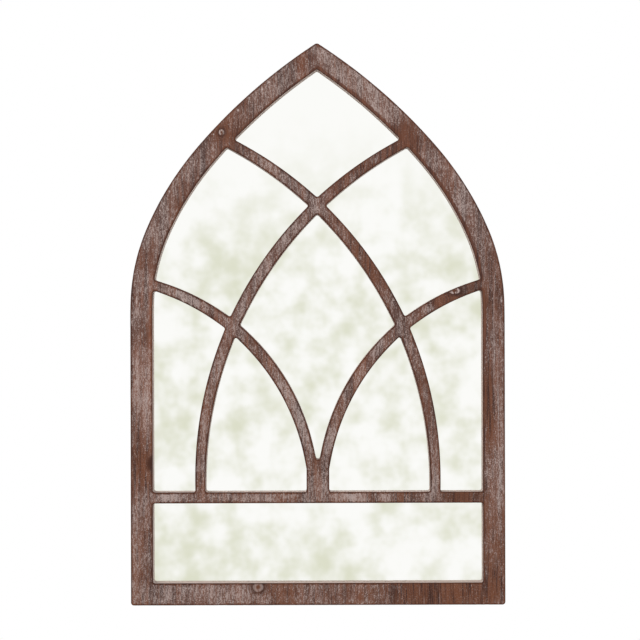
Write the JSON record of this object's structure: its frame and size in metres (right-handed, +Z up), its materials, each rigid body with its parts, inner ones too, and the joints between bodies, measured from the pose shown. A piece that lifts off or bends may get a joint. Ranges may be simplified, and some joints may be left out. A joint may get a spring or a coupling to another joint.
{
  "type": "arched window mirror",
  "caption": "Wall mirror with a pointed-arch wooden window frame, crossing curved tracery bars and a low transom in front of one sheet of mirror glass.",
  "frame": {"origin": "on the wall plane, midway between the two wall hooks, at the height where the raised D rings bear on them", "axes": "+Z up, towards the tip of the arch; +Y into the wall, so the mirror faces -Y; +X to the right as seen by someone looking into the mirror"},
  "size_m": [0.6096, 0.026, 0.9144],
  "materials": {
    "whitewashed_wood": "reddish-brown stain under a dry-brushed off-white wash with fine vertical streaks",
    "strip_wood": "stained edges, unfinished inside",
    "mirror": "silvered float glass",
    "foam": "closed-cell foam",
    "hardboard": "hardboard, smooth side out",
    "zinc_steel": "zinc-plated",
    "felt": "felt"
  },
  "bodies": {
    "frame": {"face_frame": "whitewashed_wood", "rear_rail_bottom": "strip_wood", "rear_stile_left": "strip_wood", "rear_stile_right": "strip_wood", "rear_arch_left": "strip_wood", "rear_arch_right": "strip_wood", "mirror_glass": "mirror", "foam_pads": "foam", "backing_board": "hardboard", "backing_staples": "zinc_steel", "hanger_strap_left": "zinc_steel", "hanger_strap_right": "zinc_steel", "hanger_screws": "zinc_steel", "wall_bumpers": "felt"},
    "ring_left": {"hanger_ring_left": "zinc_steel"},
    "ring_right": {"hanger_ring_right": "zinc_steel"}
  },
  "joints": [
    {"name": "left_ring_swing", "type": "hinge", "parent": "frame", "child": "ring_left", "pos_m": [-0.285, -0.0029, -0.01185], "axis": [1, 0, 0], "range_deg": [0, 177]},
    {"name": "right_ring_swing", "type": "hinge", "parent": "frame", "child": "ring_right", "pos_m": [0.285, -0.0029, -0.01185], "axis": [1, 0, 0], "range_deg": [0, 177]}
  ]
}
